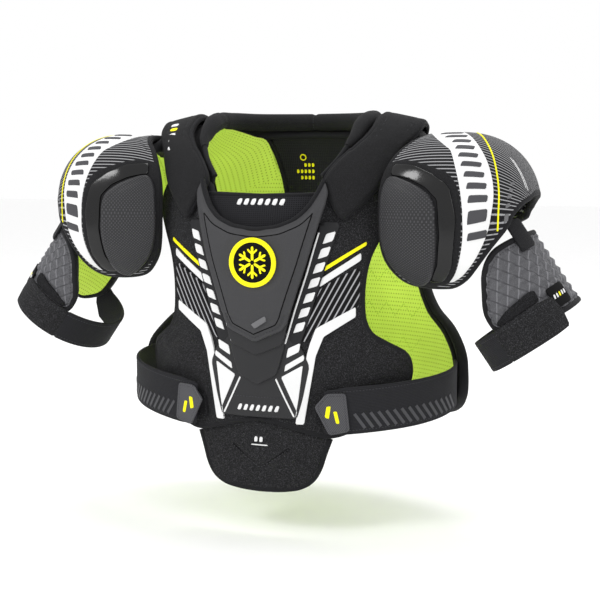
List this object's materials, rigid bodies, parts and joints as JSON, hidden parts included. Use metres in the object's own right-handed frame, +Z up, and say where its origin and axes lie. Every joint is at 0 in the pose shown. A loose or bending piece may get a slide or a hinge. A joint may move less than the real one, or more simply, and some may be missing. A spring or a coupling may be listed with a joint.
{
  "type": "hockey shoulder pads",
  "caption": "Padded protective vest with rounded shoulder caps, strapped upper-arm guards, a moulded breastbone shield, a padded collar and elastic side straps.",
  "frame": {"origin": "midway between the two places where the pads rest on the shoulders", "axes": "+X to the wearer's left, -Y to the wearer's front, +Z up"},
  "size_m": [0.6794, 0.2563, 0.4281],
  "materials": {
    "panel_cloth": "brushed black nylon knit over foam",
    "mesh_cloth": "open black polyester mesh",
    "lime_lining": "perforated lime wicking lining",
    "collar_cloth": "fine black polyester over a foam roll",
    "cap_knit": "black knit with thin grey stripes",
    "guard_mesh": "embossed grey mesh over foam",
    "elastic": "woven black elastic",
    "webbing": "woven black webbing",
    "printed_film": "printed black and white film on cloth",
    "shield_foam": "moulded charcoal EVA skin",
    "plate_plastic": "moulded charcoal polyethylene",
    "pad_skin": "grained synthetic leather over foam",
    "gloss_vinyl": "glossy black vinyl",
    "emblem": "yellow and black moulded disc",
    "grip_tab": "moulded grey rubber pull tab"
  },
  "bodies": {
    "torso": {"front_liner": "lime_lining", "front_panel": "panel_cloth", "neck_bib": "mesh_cloth", "rib_panel_right": "printed_film", "rib_panel_left": "printed_film", "chest_base_plate": "plate_plastic", "sternum_backing": "plate_plastic", "sternum_shield": "shield_foam", "sternum_emblem": "emblem", "belly_hook_strip": "webbing", "collar_roll": "collar_cloth", "neck_piping_right": "collar_cloth", "neck_piping_left": "collar_cloth", "shoulder_bridge_right": "panel_cloth", "shoulder_bridge_left": "panel_cloth", "yoke_pad_right": "panel_cloth", "yoke_pad_left": "panel_cloth", "back_panel": "panel_cloth", "back_liner_right": "lime_lining", "back_liner_left": "lime_lining", "spine_strip": "mesh_cloth", "spine_plate_upper": "plate_plastic", "spine_plate_middle": "plate_plastic", "spine_plate_lower": "plate_plastic", "scapula_pad_right": "panel_cloth", "scapula_pad_left": "panel_cloth", "loop_patch_right": "webbing", "loop_patch_left": "webbing"},
    "lower_plate": {"sternum_lower_plate": "plate_plastic"},
    "upper_plate": {"sternum_upper_plate": "plate_plastic"},
    "flap": {"belly_flap": "panel_cloth"},
    "waist_strap_right": {"side_strap_right": "elastic", "side_tab_right": "grip_tab"},
    "waist_strap_left": {"side_strap_left": "elastic", "side_tab_left": "grip_tab"},
    "shoulder_cap_right": {"cap_cover_right": "cap_knit", "cap_shell_right": "plate_plastic", "cap_liner_right": "lime_lining", "cap_front_pad_right": "pad_skin", "cap_trim_right": "gloss_vinyl"},
    "shoulder_cap_left": {"cap_cover_left": "cap_knit", "cap_shell_left": "plate_plastic", "cap_liner_left": "lime_lining", "cap_front_pad_left": "pad_skin", "cap_trim_left": "gloss_vinyl"},
    "arm_guard_right": {"bicep_guard_right": "guard_mesh", "bicep_liner_right": "lime_lining", "bicep_strap_right": "elastic", "guard_webbing_right": "webbing"},
    "arm_guard_left": {"bicep_guard_left": "guard_mesh", "bicep_liner_left": "lime_lining", "bicep_strap_left": "elastic", "guard_webbing_left": "webbing"},
    "arm_strap_end_right": {"strap_end_right": "elastic"},
    "arm_strap_end_left": {"strap_end_left": "elastic"}
  },
  "joints": [
    {"name": "shoulder_cap_right_lift", "type": "hinge", "parent": "torso", "child": "shoulder_cap_right", "pos_m": [-0.17, -0.008, -0.006], "axis": [0, 1, 0], "range_deg": [0, 60]},
    {"name": "arm_guard_right_swing", "type": "hinge", "parent": "shoulder_cap_right", "child": "arm_guard_right", "pos_m": [-0.268, -0.022, -0.112], "axis": [0, 1, 0], "range_deg": [0, 30]},
    {"name": "arm_strap_end_right_peel", "type": "hinge", "parent": "arm_guard_right", "child": "arm_strap_end_right", "pos_m": [-0.27453, -0.08799, -0.22954], "axis": [0.5736, 0, 0.8191], "range_deg": [0, 75]},
    {"name": "waist_strap_right_open", "type": "hinge", "parent": "torso", "child": "waist_strap_right", "pos_m": [-0.1965, 0.0125, -0.296], "axis": [0, 0, -1], "range_deg": [0, 60]},
    {"name": "shoulder_cap_left_lift", "type": "hinge", "parent": "torso", "child": "shoulder_cap_left", "pos_m": [0.17, -0.008, -0.006], "axis": [0, -1, 0], "range_deg": [0, 60]},
    {"name": "arm_guard_left_swing", "type": "hinge", "parent": "shoulder_cap_left", "child": "arm_guard_left", "pos_m": [0.268, -0.022, -0.112], "axis": [0, -1, 0], "range_deg": [0, 30]},
    {"name": "arm_strap_end_left_peel", "type": "hinge", "parent": "arm_guard_left", "child": "arm_strap_end_left", "pos_m": [0.27453, -0.08799, -0.22954], "axis": [0.5736, 0, -0.8191], "range_deg": [0, 75]},
    {"name": "waist_strap_left_open", "type": "hinge", "parent": "torso", "child": "waist_strap_left", "pos_m": [0.1965, 0.0125, -0.296], "axis": [0, 0, 1], "range_deg": [0, 60]},
    {"name": "flap_fold", "type": "hinge", "parent": "torso", "child": "flap", "pos_m": [0, -0.101, -0.337], "axis": [-1, 0, 0], "range_deg": [0, 50]},
    {"name": "lower_plate_slide", "type": "slide", "parent": "torso", "child": "lower_plate", "axis": [0, 0, 1], "range_m": [0, 0.012]},
    {"name": "upper_plate_slide", "type": "slide", "parent": "torso", "child": "upper_plate", "axis": [0, 0, 1], "range_m": [0, 0.006]}
  ],
  "couplings": [
    {"joint": "upper_plate_slide", "follows": "lower_plate_slide", "ratio": 0.5}
  ]
}
